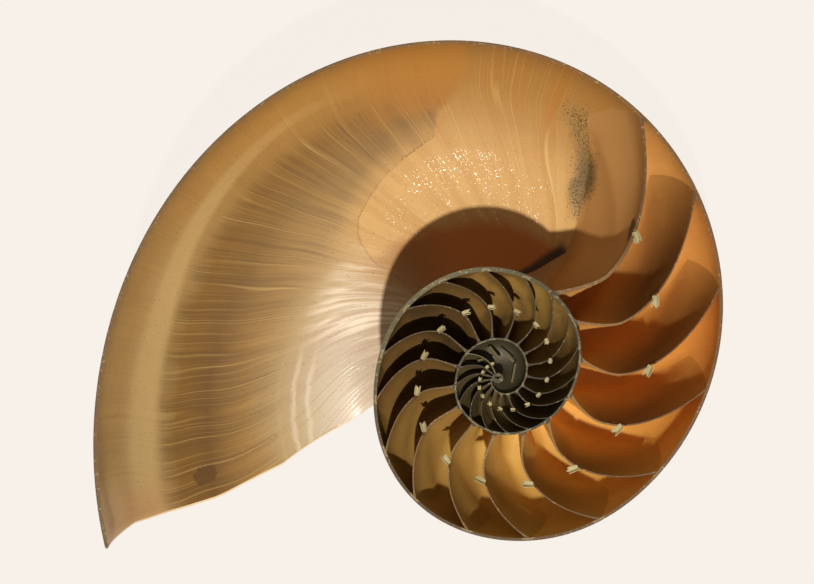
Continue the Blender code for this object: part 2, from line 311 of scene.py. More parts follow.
def dipFlank(dip, depth):  # the flank at this depth below the sawn plane, in a section of this depth
    form = shellForm
    share = np.clip(dip / (depth * form["shoulderDepth"]), 0, 1) ** (form["ovalPower"] / 2)
    return form["shoulderFlank"] * np.arcsin(share) * 2 / math.pi


endFlank = septumForm["endFlank"]
chamberRowFlanks = np.linspace(0, 1, meshSteps["chamberRows"] + 1) ** meshSteps["rowSpread"] * endFlank
bodyRows = np.linspace(0, 1, meshSteps["rows"] + 1) * endFlank


def septumFace(back, side, slot):  # [across][row] points of one face, with the siphuncle's notch
    places, dips = acrossPlaces(back)
    middle = back + septumBow(back, places, 0.0)
    top = dipFlank(dips, hollowScale(middle, places, 0.0) * roundness(middle, places))
    rows = bodyRows if slot == "lastSeptum" else chamberRowFlanks
    flank = top[:, None] + (endFlank - top[:, None]) * (rows / endFlank)[None, :]
    across = np.broadcast_to(places[:, None], flank.shape)
    turn = septumTurn(back, side, across, flank)
    # the siphuncle's hole and the shade around it, as painted shade, on the side towards the mouth
    aside = across - neckValue("place", back)
    hole, shade = [np.exp(-(aside / wide) ** 2 - ((flank - low) / tall) ** 2)
                   for wide, low, tall in (septumForm["hole"], septumForm["shade"])]
    bore = np.maximum(hole, septumForm["shadeShare"] * shade) * (side > 0)
    return addHollow(slot, turn, across, flank, bore)


def buildChamber(front, back):  # a gas chamber between two septa; returns its loop in the sawn plane
    rows, steps = chamberRowFlanks, meshSteps["chamberAlong"]
    nearPoints = septumFace(back, 1, "chamber")
    farPoints = septumFace(front, -1, "chamber")
    along = np.linspace(0, 1, steps + 1)[:, None]
    sides = []
    for across in (1.0, 0.0):
        flank = rows[None, :]
        start, end = septumTurn(back, 1, across, flank), septumTurn(front, -1, across, flank)
        turn = start + (end - start) * along
        sides.append(addHollow("chamber", turn, across, flank)[:, 0])
    nearPlaces, farPlaces = acrossPlaces(back)[0], acrossPlaces(front)[0]
    across = nearPlaces[None, :] * (1 - along) + farPlaces[None, :] * along
    start = septumTurn(back, 1, nearPlaces[None, :], endFlank)
    end = septumTurn(front, -1, farPlaces[None, :], endFlank)
    turn = start + (end - start) * along
    addHollow("chamber", turn, across, endFlank)
    near, far = nearPoints[:, 0], farPoints[:, 0]
    kinds = [0.0] * len(near) + [1.0] * (steps - 1) + [0.0] * len(far) + [1.0] * (steps - 1)
    loop = np.concatenate((near, sides[0][1:-1], far[::-1], sides[1][::-1][1:-1]))
    return loop, np.array(kinds)


def buildCore():  # the open hollow at the centre, where the first septa are broken away
    start, back = septumForm["coreTurn"], septumForm["turns"][-1]
    rows, steps = chamberRowFlanks, meshSteps["core"]
    along = np.linspace(0, 1, steps + 1)[:, None]
    farPoints = septumFace(back, -1, "chamber")
    sides = []
    for across in (1.0, 0.0):
        flank = rows[None, :]
        turn = start + (septumTurn(back, -1, across, flank) - start) * along
        sides.append(addHollow("chamber", turn, across, flank)[:, 0])
    places = acrossPlaces(back)[0]
    nearFlank = np.broadcast_to(rows[None, :], (len(places), len(rows)))
    nearAcross = np.broadcast_to(places[:, None], nearFlank.shape)
    nearPoints = addHollow("chamber", start, nearAcross, nearFlank)
    turn = start + (septumTurn(back, -1, places[None, :], endFlank) - start) * along
    across = np.broadcast_to(places[None, :], turn.shape)
    addHollow("chamber", turn, across, endFlank)
    loop = np.concatenate((nearPoints[:, 0], sides[0][1:-1], farPoints[::-1, 0], sides[1][::-1][1:-1]))
    return loop, np.ones(len(loop))


def buildPit():  # the round hole of the first chamber, at the hub
    angles, turn = np.linspace(0, 2 * math.pi, meshSteps["pit"] + 1), septumForm["coreTurn"]
    centre, radius = np.array(septumForm["pitMm"]) * mm, septumForm["pitRadiusMm"] * mm
    depths = np.array((0.0, 0.5, 1.0)) * septumForm["pitDepthMm"] * mm
    rings = np.stack([np.stack((centre[0] + radius * np.cos(angles), centre[1] + radius * np.sin(angles),
                                np.full(len(angles), -depth)), -1) for depth in depths])
    tip = np.repeat(np.array(((centre[0], centre[1], -depths[-1]),)), len(angles), 0)[None]
    # bore 1 paints the pit near black: painted shade in the hole
    for points in (rings, np.concatenate((rings[-1:], tip))):
        addGrid(points, "chamber", turn, 0.5, 0.5, rim=0.5, bore=1.0)
    return rings[0, :-1], np.ones(len(angles) - 1)


def buildOutside():  # outside, mouth's lip, umbilicus and body chamber; returns the sawn outline
    first = septumForm["turns"][0]
    seam = np.linspace(endFlank, 1, meshSteps["seamRows"] + 1)[1:]
    rows = np.concatenate((bodyRows, seam))
    mouth = np.interp(rows, shellForm["mouthFlank"], shellForm["mouthTurn"])
    turn = mouth[None, :] - fullTurn * np.linspace(1, 0, meshSteps["outside"] + 1)[:, None]
    flank = np.broadcast_to(rows[None, :], turn.shape)
    outside = shellPoint(turn, coilRadius(turn), flank)
    addGrid(outside, "outside", turn, 1.0, flank)

    along = np.linspace(0, 1, meshSteps["body"] + 1)[:, None]
    bodyMouth = mouth[:len(bodyRows)]
    edges = {}
    for across, slot in ((1.0, "bodyWall"), (0.0, "coilBack")):
        start = septumTurn(first, 1, across, bodyRows)[None, :]
        turn = start + (bodyMouth[None, :] - start) * along
        edges[slot] = addHollow(slot, turn, across, bodyRows[None, :])
    dish = septumFace(first, 1, "lastSeptum")
    places = acrossPlaces(first)[0]
    start = septumTurn(first, 1, places, endFlank)[None, :]
    turn = start + (bodyMouth[-1] - start) * along
    across = np.broadcast_to(places[None, :], turn.shape)
    addHollow("coilBack", turn, across, endFlank)

    # the lip between the outside and the body chamber
    steps = np.linspace(0, 1, meshSteps["lip"] + 1)[:, None]
    inner, outer = hollowScale(bodyMouth, 1.0, bodyRows)[None, :], coilRadius(bodyMouth)[None, :]
    scale = inner + (outer - inner) * steps
    bulge = np.sin(steps * math.pi) * (1 - (bodyRows / endFlank) ** shellForm["lipPower"])[None, :]
    turn = bodyMouth[None, :] + np.degrees((outer - inner) * shellForm["lipBulge"] * bulge / scale)
    flank = np.broadcast_to(bodyRows[None, :], turn.shape)
    lip = shellPoint(turn, scale, flank)
    addGrid(lip, "outside", turn, 1.0, flank)

    # the wall across the umbilicus at the mouth
    scales = np.concatenate((hollowScale(bodyMouth[-1], places, endFlank), scale[1:, -1]))
    share = (scales - scales[0]) / (scales[-1] - scales[0])
    wallRows = np.concatenate(([endFlank], seam))
    wallTurn = np.interp(wallRows, shellForm["mouthFlank"], shellForm["mouthTurn"])
    low, high = coilRadius(wallTurn - fullTurn), coilRadius(wallTurn)
    scale = low[:, None] + (high - low)[:, None] * share[None, :]
    turn = np.broadcast_to(wallTurn[:, None], scale.shape)
    flank = np.broadcast_to(wallRows[:, None], scale.shape)
    mix = np.concatenate((places, np.ones(meshSteps["lip"])))
    wall = shellPoint(turn, scale, flank, np.broadcast_to(mix[None, :], scale.shape))
    addGrid(wall, "outside", turn, share[None, :], flank)

    # the hollow of the umbilicus closes on a point of the axis
    ring = np.concatenate((outside[:, -1], wall[-1][::-1][1:-1], outside[:1, -1]))
    turns = np.concatenate((mouth[-1] - fullTurn * np.linspace(1, 0, meshSteps["outside"] + 1),
                            np.full(len(ring) - meshSteps["outside"] - 1, mouth[-1])))
    centre = np.array((0.0, 0.0, -shellForm["umbilicusDepth"]))
    shares = np.linspace(1, 0, meshSteps["centreRings"] + 1)[:-1]
    rings = np.stack([centre + (ring - centre) * s for s in shares])
    ids = addGrid(rings, "outside", turns[None, :] + 0 * shares[:, None], 1.0, 1.0,
                  rim=shellForm["seamRadius"] * shares[:, None])
    skin["points"].append(centre[None, :])
    skin["values"].append(np.array([[mouth[-1], 1.0, 1.0, 0.0, 0.0]]))
    hub = skin["count"]
    skin["count"] += 1
    skin["faces"].extend([a, b, hub] for a, b in zip(ids[-1][:-1].tolist(), ids[-1][1:].tolist()))
    skin["slots"].extend([0] * (ids.shape[1] - 1))

    body, coil = edges["bodyWall"][:, 0], edges["coilBack"][:, 0]
    pieces = (outside[:, 0], lip[::-1, 0][1:], body[::-1][1:], dish[::-1, 0][1:], coil[1:-1])
    kinds = np.concatenate([np.full(len(p), k) for p, k in zip(pieces, (1.0, 1.0, 1.0, 0.0, 1.0))])
    rims = np.concatenate([np.full(len(p), k) for p, k in zip(pieces, (1.0, 0.5, 0.0, 0.0, 1.0))])
    return np.concatenate(pieces), kinds, rims


def whorlTurn(points):  # the turn of the whorl that these points of the sawn plane belong to
    justInside, innerWhorls = 0.998, 3
    radius = np.hypot(points[:, 0], points[:, 1]) * justInside
    turn = np.degrees(np.arctan2(points[:, 1], points[:, 0])) - innerWhorls * fullTurn
    for _ in range(innerWhorls + 1):
        turn = np.where(coilRadius(turn) < radius, turn + fullTurn, turn)
    return turn


def fillSawnFace(outline, holes):  # flat face between the outline and the hollows
    loops = [outline] + holes
    points = np.concatenate([loop[0] for loop in loops])
    starts = np.cumsum([0] + [len(loop[0]) for loop in loops])
    faces = [list(range(a, b)) for a, b in zip(starts, starts[1:])]
    flat = [Vector((p[0] / mm, p[1] / mm)) for p in points]
    closeMm, insideOnly = 1e-5, 1
    found = geometry.delaunay_2d_cdt(flat, [], faces, insideOnly, closeMm)
    triangles = [[found[3][v][0] for v in face] for face, owner in zip(found[2], found[5]) if owner == [0]]
    base = skin["count"]
    turn = whorlTurn(points)
    wall = np.concatenate([loop[1] for loop in loops])
    outer = np.concatenate([loop[2] if len(loop) > 2 else np.zeros(len(loop[0])) for loop in loops])
    skin["points"].append(points)
    rim = np.hypot(*points[:, :2].T) / coilRadius(turn)
    skin["values"].append(np.stack((turn, outer, wall, rim, 0 * rim), -1))
    skin["faces"].extend([[v + base for v in t] for t in triangles])
    skin["slots"].extend([slotNames.index("sawn")] * len(triangles))
    skin["count"] += len(points)


def findPlacement():  # from the shell's own frame to the CAD's
    tip = (Matrix.Rotation(math.radians(shellForm["tipY"]), 4, "Y")
           @ Matrix.Rotation(math.radians(shellForm["tipX"]), 4, "X"))
    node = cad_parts["nautilus_shell_half"]
    places = np.array([tip.inverted() @ node.matrix_world @ v.co for v in node.data.vertices])
    turns = shellForm["mouthTurn"][0] - fullTurn * np.linspace(1, 0, shellForm["cadSteps"] + 1)
    outline = shellPoint(turns, coilRadius(turns), 0.0 * turns)
    shift = Vector((places[:, 0].min() - outline[:, 0].min(), places[:, 1].min() - outline[:, 1].min(),
                    places[:, 2].max()))
    lift = Matrix.Translation((0, 0, shellForm["lift"]))
    return Matrix.Scale(shellForm["trim"], 4) @ lift @ tip @ Matrix.Translation(shift)


# Places on the body chamber's wall, by turn and rim, where rim is the share of the coil's radius
wallMarks = {
    # the edge of the muscle's scar towards the mouth: rim, turn
    "muscleRim": (0.30, 0.44, 0.475, 0.52, 0.565, 0.61, 0.64,
                  0.67, 0.745, 0.805, 0.835, 0.89, 0.955, 1.0),
    "muscleTurn": (134.0, 136.0, 136.7, 136.0, 134.0, 128.7, 123.0,
                   118.0, 104.0, 103.0, 99.3, 96.7, 95.3, 95.0),
    # the fine ridge beside the last septum
    "ridgeRim": (0.40, 0.52, 0.57, 0.64, 0.715, 0.925, 1.0),
    "ridgeTurn": (61.5, 65.8, 68.5, 72.5, 76.5, 76.5, 75.0),
    # the middle of the pale stripe under the rim, a painted highlight
    "bandTurn": (100.0, 110.0, 130.0, 150.0, 170.0, 200.0, 205.0),
    "bandRim": (0.925, 0.922, 0.928, 0.915, 0.898, 0.905, 0.905),
    # how far growth lines stand from a line of equal turn, in degrees, in the body and at the mouth
    "lineRim": (0.30, 0.36, 0.45, 0.53, 0.62, 0.70, 0.78, 0.86, 0.925, 1.0),
    "bodyLine": (-30.0, -25.0, -17.0, -11.0, -7.5, -4.2, -2.0, -0.2, -0.3, -0.8),
    "mouthLine": (-24.0, -17.5, -8.5, -2.5, 0.6, 1.2, 0.4, 0.0, -2.2, -3.0),
    "mouthFrom": (155.0, 192.0),
}


def wallFields(turn, rim, flank):  # signed distances from the marks, in degrees or shares of the radius
    marks = wallMarks
    towardsMouth = np.interp(turn, marks["mouthFrom"], (0.0, 1.0))
    inside = np.clip(rim, marks["lineRim"][0], 1)
    body, mouth, ridge = [smoothCurve(marks[places], marks[name])(inside) for places, name in
                          (("lineRim", "bodyLine"), ("lineRim", "mouthLine"), ("ridgeRim", "ridgeTurn"))]
    return {
        "muscle": np.interp(rim, marks["muscleRim"], marks["muscleTurn"]) - turn,
        "ridge": turn - ridge,
        # from the line where the last septum meets the outer wall
        "seam": turn - septumTurn(septumForm["turns"][0], 1, 1.0, np.clip(flank, 0, endFlank)),
        "band": rim - np.interp(turn, marks["bandTurn"], marks["bandRim"]),
        "growth": turn - body * (1 - towardsMouth) - mouth * towardsMouth,
    }


# Shader helpers: each adds nodes to a tree and returns a socket
def paint(red, green, blue):  # a colour as seen on a screen, to the values that shaders use
    parts = [c / 255 for c in (red, green, blue)]
    return tuple(c / 12.92 if c <= 0.04045 else ((c + 0.055) / 1.055) ** 2.4 for c in parts) + (1.0,)


def addNode(tree, kind, **settings):
    node = tree.nodes.new(kind)
    for name, value in settings.items():
        setattr(node, name, value)
    return node


def feed(tree, socket, value):
    if isinstance(value, bpy.types.NodeSocket):
        tree.links.new(value, socket)
    elif value is not None:
        socket.default_value = paint(*value) if isinstance(value, tuple) else value


def feedAll(tree, node, *values):
    for socket, value in zip(node.inputs, values):
        feed(tree, socket, value)
    return node.outputs[0]


def sums(tree, operation, *values, clamp=False):
    return feedAll(tree, addNode(tree, "ShaderNodeMath", operation=operation, use_clamp=clamp), *values)


def times(tree, first, *others):
    for other in others:
        first = sums(tree, "MULTIPLY", first, other)
    return first


def weighed(tree, *pairs):  # values added up by their weights
    total = 0.0
    for value, weight in pairs:
        total = sums(tree, "MULTIPLY_ADD", value, weight, total)
    return total


def shaken(tree, value, grain, amount):  # a value that a grain moves to and fro
    return sums(tree, "MULTIPLY_ADD", sums(tree, "SUBTRACT", grain, 0.5), amount, value)


def away(tree, value, middle, reach):  # distance from the middle, in reaches
    return sums(tree, "DIVIDE", sums(tree, "SUBTRACT", value, middle), reach)


def span(tree, value, low, high, start=0.0, end=1.0):  # eased share of the way from low to high
    node = addNode(tree, "ShaderNodeMapRange", interpolation_type="SMOOTHSTEP")
    return feedAll(tree, node, value, low, high, start, end)


def hill(tree, value, middle, reach):  # 1 at the middle, 0 beyond the reach
    return span(tree, sums(tree, "ABSOLUTE", sums(tree, "SUBTRACT", value, middle)), reach, 0.0)


def blend(tree, share, first, second):
    node = addNode(tree, "ShaderNodeMix", data_type="RGBA", clamp_factor=True)
    feed(tree, node.inputs["Factor"], share)
    feed(tree, node.inputs[6], first)
    feed(tree, node.inputs[7], second)
    return node.outputs[2]


def ramp(tree, value, stops):  # stops: place, red, green, blue
    node = addNode(tree, "ShaderNodeValToRGB")
    scale = node.color_ramp
    while len(scale.elements) < len(stops):
        scale.elements.new(0.5)
    for element, (place, *colour) in zip(scale.elements, stops):
        element.position, element.color = place, paint(*colour)
    feed(tree, node.inputs["Fac"], value)
    return node.outputs["Color"]


def rampAlong(tree, turn, stops):  # stops: turn, red, green, blue
    low, high = stops[0][0], stops[-1][0]
    shares = [((place - low) / (high - low), *colour) for place, *colour in stops]
    return ramp(tree, away(tree, turn, low, high - low), shares)


def noise(tree, vector, scale, detail=2.0, roughness=0.5, distortion=0.0):
    node = addNode(tree, "ShaderNodeTexNoise")
    names = ("Vector", "Scale", "Detail", "Roughness", "Distortion")
    for name, value in zip(names, (vector, scale, detail, roughness, distortion)):
        feed(tree, node.inputs[name], value)
    return node.outputs["Fac"]


def bump(tree, height, form, normal=None):  # form: strength, depth in mm
    node = addNode(tree, "ShaderNodeBump")
    values = (height, form[0], form[1] * mm, normal)
    for name, value in zip(("Height", "Strength", "Distance", "Normal"), values):
        feed(tree, node.inputs[name], value)
    return node.outputs["Normal"]


def readFields(tree, *names):
    return {name: addNode(tree, "ShaderNodeAttribute", attribute_name=name).outputs["Fac"]
            for name in names}


def masked(tree, look, fields, name):  # a mask from a look: the product of its parts
    parts = []
    for part in look["masks"][name]:
        if isinstance(part, str):  # a field as it is
            part = fields[part]
        elif isinstance(part, tuple):  # a span or a hill of a field
            kind, place, *numbers = part
            part = (span if kind == "span" else hill)(tree, fields[place], *numbers)
        parts.append(part)
    return times(tree, *parts)


def overlaid(tree, look, fields, colour, *layers):  # colours laid over in turn, each by its mask
    for mask, over in layers:
        colour = blend(tree, masked(tree, look, fields, mask), colour, look[over])
    return colour


def newGroup(name, inputs, outputs):  # a node group whose sockets are all numbers
    tree = bpy.data.node_groups.new(name, "ShaderNodeTree")
    for way, labels in (("INPUT", inputs), ("OUTPUT", outputs)):
        for label in labels:
            tree.interface.new_socket(name=label, in_out=way, socket_type="NodeSocketFloat")
    return tree, tree.nodes.new("NodeGroupInput").outputs, tree.nodes.new("NodeGroupOutput").inputs


def useGroup(tree, name, **values):
    node = addNode(tree, "ShaderNodeGroup", node_tree=bpy.data.node_groups[name])
    for label, value in values.items():
        feed(tree, node.inputs[label], value)
    return node.outputs


lineForm = {
    # noises: how often along the coil, how often from coil to rim, offset, detail
    "noises": {"fine": (2.2, 2.0, 0.0, 3.0), "bands": (0.30, 1.3, 7.0, 3.0),
               "wander": (0.16, 0.7, 3.0, 1.0), "fade": (0.42, 2.6, 11.0, 1.0)},
    "noiseRoughness": 0.6,
    "fine": (0.3, 0.7),
    "bands": (0.36, 0.66),
    "fade": (0.34, 0.62),
    # light lines: how often, half their width, strength
    "rhythms": ((0.31, 0.060, 1.0), (0.83, 0.11, 0.6)),
    "wander": 11,
    # a dark edge runs before each light line: how far and how wide, in widths of the line
    "edgeBefore": 1.7,
    "edgeWidth": 1.3,
}


def makeGrowthLines():  # fine grooves, broad dark bands, and light lines with a dark edge
    form = lineForm
    tree, inside, outside = newGroup("growthLines", ("Growth", "Rim"), ("Fine", "Bands", "Lines", "Edges"))
    shares = {}
    for name, (often, across, offset, detail) in form["noises"].items():
        place = feedAll(tree, addNode(tree, "ShaderNodeCombineXYZ"),
                        times(tree, inside["Growth"], often), times(tree, inside["Rim"], across), offset)
        shares[name] = noise(tree, place, 1.0, detail, form["noiseRoughness"])
    feed(tree, outside["Fine"], span(tree, shares["fine"], *form["fine"]))
    feed(tree, outside["Bands"], span(tree, shares["bands"], *form["bands"]))
    lines, edges = 0.0, 0.0
    for often, reach, weight in form["rhythms"]:
        growth = times(tree, inside["Growth"], often)
        place = sums(tree, "MULTIPLY_ADD", shares["wander"], form["wander"] * often, growth)
        beat = sums(tree, "FRACT", place)
        seen = times(tree, span(tree, shares["fade"], *form["fade"]), weight)
        line = hill(tree, beat, 0.5, reach)
        edge = hill(tree, beat, 0.5 - form["edgeBefore"] * reach, reach * form["edgeWidth"])
        lines = sums(tree, "MAXIMUM", times(tree, line, seen), lines)
        edges = sums(tree, "MAXIMUM", times(tree, edge, seen), edges)
    feed(tree, outside["Lines"], lines)
    feed(tree, outside["Edges"], edges)


grainForm = {
    # how often in a metre, detail, roughness
    "Blotch": (55.0, 5.0, 0.6),
    "Grain": (1500.0, 2.0, 0.6),
    "Speck": (620.0, 2.0, 0.5),
    "blotchSpan": (0.32, 0.68),
}


def makeGrain():  # dirt and grain: blotches, fine grain and small specks
    names = ("Blotch", "Grain", "Speck")
    tree, inside, outside = newGroup("grain", ("Size",), names)
    place = addNode(tree, "ShaderNodeTexCoord").outputs["Object"]
    for name in names:
        often, *rest = grainForm[name]
        found = noise(tree, place, times(tree, inside["Size"], often), *rest)
        if name == "Blotch":
            found = span(tree, found, *grainForm["blotchSpan"])
        feed(tree, outside[name], found)


pearlForm = {
    # how often along the coil, and from coil to rim
    "often": (0.16, 2.5),
    # scale and detail of each shift of colour, and the span that shows
    "Pink": (1.0, 3.0, 0.45, 0.7),
    "Green": (1.7, 3.0, 0.5, 0.75),
    "Sheen": (2.6, 4.0, 0.4, 0.7),
}


def makePearl():  # mother of pearl: slow shifts of colour
    names = ("Pink", "Green", "Sheen")
    tree, inside, outside = newGroup("pearl", ("Growth", "Rim"), names)
    along, across = pearlForm["often"]
    place = feedAll(tree, addNode(tree, "ShaderNodeCombineXYZ"),
                    times(tree, inside["Growth"], along), times(tree, inside["Rim"], across))
    for name in names:
        scale, detail, low, high = pearlForm[name]
        feed(tree, outside[name], span(tree, noise(tree, place, scale, detail), low, high))


def newMaterial(name, look):
    material = bpy.data.materials.new(name)
    material.use_nodes = True
    bsdf = material.node_tree.nodes["Principled BSDF"]
    bsdf.inputs["Roughness"].default_value = look["roughness"]
    bsdf.inputs["Coat Weight"].default_value = look.get("coat", 0.0)
    bsdf.inputs["Coat Roughness"].default_value = look.get("coatRoughness", 0.2)
    return material, material.node_tree, bsdf


# In the looks below, colours are red, green and blue up to 255 as seen on a screen, masks are products
# of eased spans between two values of a field (or hills: middle and reach), and bumps are strength and
# depth in mm
wallLook = {
    # from the coil out to the rim: along the body chamber, at the mouth, and beside the last septum
    "bodyStops": ((0.40, 200, 174, 140), (0.50, 194, 164, 118), (0.60, 178, 144, 90), (0.68, 160, 124, 60),
                  (0.75, 140, 103, 36), (0.83, 134, 96, 32), (0.88, 152, 112, 54), (0.93, 172, 128, 66),
                  (0.97, 176, 130, 66), (1.0, 166, 122, 62)),
    "mouthStops": ((0.40, 188, 170, 148), (0.48, 182, 162, 128), (0.56, 176, 148, 102),
                   (0.64, 156, 118, 56), (0.74, 110, 74, 18), (0.82, 132, 95, 36), (0.87, 166, 138, 90),
                   (0.93, 176, 146, 96), (0.965, 174, 138, 84), (1.0, 194, 158, 100)),
    "backStops": ((0.45, 206, 166, 106), (0.60, 204, 162, 98), (0.70, 194, 152, 88), (0.80, 172, 130, 70),
                  (0.90, 160, 118, 62), (0.96, 160, 117, 60), (1.0, 150, 110, 58)),
    "band": (190, 160, 108),
    "bandDark": (92, 62, 24),
    "line": (206, 174, 106),
    "amber": (168, 112, 42),
    "lip": (238, 208, 156),
    "lipFlush": (186, 138, 96),
    # under the coil where its shadow falls: partly the wall's own brown, partly painted shade; then
    # painted shade for the corner
    "underCoil": (190, 114, 44),
    "creaseShade": (66, 44, 22),
    "underMouth": (152, 106, 54),
    "stain": (66, 50, 18),
    "stainHalo": (150, 122, 72),
    "spot": (84, 54, 14),
    "pink": (178, 140, 128),
    "green": (170, 166, 128),
    "white": (240, 226, 208),
    # painted glints over the muscle's scar
    "fleck": (255, 250, 240),
    "roughness": 0.60,
    "pearlRoughness": 0.42,
    "pearlCoat": 0.22,
    "coatRoughness": 0.16,
    # growth lines on the flank: least and most strength; and beside the septum: strength
    "flankLines": (("Bands", 0.06, 0.42, "bandDark"), ("Fine", 0.08, 0.26, "bandDark"),
                   ("Edges", 0.10, 0.34, "bandDark"), ("Lines", 0.08, 0.36, "line")),
    "backLines": (("Fine", 0.10, "amber"), ("Bands", 0.30, "amber"), ("Edges", 0.16, "amber"),
                  ("Lines", 0.30, "line")),
    "rimShake": 0.02,
    "scarShake": 1.6,
    "spiralOften": 24.0,
    "stainCover": (0.24, 0.66),
    # the brown spot near the mouth: middle and reach by turn and rim, and how ragged it is
    "spotAt": ((199.3, 1.7), (0.762, 0.030)),
    "spotRagged": 2.0,
    "relief": (("Lines", 0.5), ("Bands", 0.5), ("Fine", 0.15)),
    "crestRelief": 1.4,
    "lineBump": (0.35, 0.10),
    "grainBump": (0.12, 0.05),
    "wetBump": (0.5, 0.25),
    "masks": {
        "mouth": (("span", "turn", 125.0, 185.0),),
        "streak": (("span", "rim", 0.50, 0.66), ("span", "rim", 0.885, 0.835)),
        # painted highlight: the pale stripe under the rim, and its width
        "bandWidth": (("span", "turn", 125.0, 185.0, 0.012, 0.032),),
        "band": (("span", "bandPlace", 1.4, 0.5), ("span", "turn", 108.0, 165.0, 0.0, 0.7)),
        "pink": ("pinkShift", ("span", "rim", 0.60, 0.42), 0.5),
        "green": ("greenShift", ("span", "rim", 0.60, 0.42), 0.3),
        # painted sheen: white streaks near the coil
        "sheen": ("sheenShift", ("span", "rim", 0.56, 0.47), ("span", "turn", 178.0, 160.0), 0.9),
        "lip": (("span", "turn", 192.0, 203.0), ("span", "rim", 0.93, 1.0)),
        "flush": (("span", "turn", 196.0, 201.0), ("span", "rim", 0.82, 0.90), 0.5),
        "spiral": (("hill", "spiralBeat", 0.5, 0.28), ("hill", "rim", 0.505, 0.07),
                   ("span", "turn", 168.0, 182.0, 0.0, 0.35)),
        "amber": (("span", "turn", 126.0, 104.0), ("span", "shaky", 0.78, 0.83), 0.65),
        "paler": (("span", "scarPlace", -14.0, 0.0, 0.0, 0.6), ("span", "rim", 0.84, 0.74)),
        "scarSoftness": (("span", "rim", 0.74, 0.84, 0.5, 1.4),),
        "back": (("span", "softPlace", -1.2, 0.8),),
        "scarEdge": (("hill", "scarPlace", -0.2, 0.7), ("span", "rim", 0.70, 0.62), 0.30),
        "scarDots": (("hill", "scarPlace", 0.3, 1.1), ("hill", "rim", 0.71, 0.07),
                     ("span", "dust", 0.45, 0.52), 0.7),
        # the fine ridge: painted shade at its foot and a painted highlight along its crest
        "ridgeFoot": (("span", "ridge", 4.5, 0.0), ("span", "ridge", -0.5, 0.0), 0.35),
        "crest": (("hill", "ridge", -0.5, 0.7),),
        "ridgeLine": ("crest", ("span", "rim", 0.85, 0.70, 0.0, 0.7)),
        # where the coil's shadow falls: partly a browner wall, partly painted shade
        "under": (("span", "shaky", 0.505, 0.445), ("span", "turn", 150.0, 122.0)),
        "underAlong": (("span", "turn", 100.0, 140.0),),
        # painted shade in the corner by the last septum
        "corner": (("span", "seam", 6.0, 2.0), ("span", "rim", 0.53, 0.49)),
        "stain": (("span", "rim", 0.55, 0.68), ("span", "rim", 0.97, 0.86), ("span", "seam", 8.5, 0.5),
                  ("span", "blotch", 0.1, 0.7, 0.55, 1.0)),
        "halo": (("span", "stain", 0.0, 0.6), 0.5),
        "stainSpecks": (("span", "stainCover", 0.0, 0.09, 0.0, 0.8),),
        "stainCore": (("span", "stain", 0.20, 0.60), ("hill", "rim", 0.745, 0.16), 0.75),
        "spot": (("span", "spotPlace", 1.1, 0.8, 0.0, 0.75),),
        "loose": (("span", "speck", 0.86, 0.88), 0.4),
        "scar": (("span", "muscle", 5.0, 12.0), ("span", "rim", 0.72, 0.60),
                 ("span", "turn", 69.0, 73.0), ("span", "rim", 0.45, 0.51)),
        "wet": ("scar", ("span", "dust", 0.54, 0.64), ("span", "fine", 0.3, 0.7)),
        # painted glints: white specks over the muscle's scar
        "fleck": ("scar", ("span", "dust", 0.62, 0.66), ("span", "sheenShift", 0.3, 0.7), 0.8),
        "shiny": (("span", "rim", 0.60, 0.42), ("span", "turn", 122.0, 135.0)),
    },
}


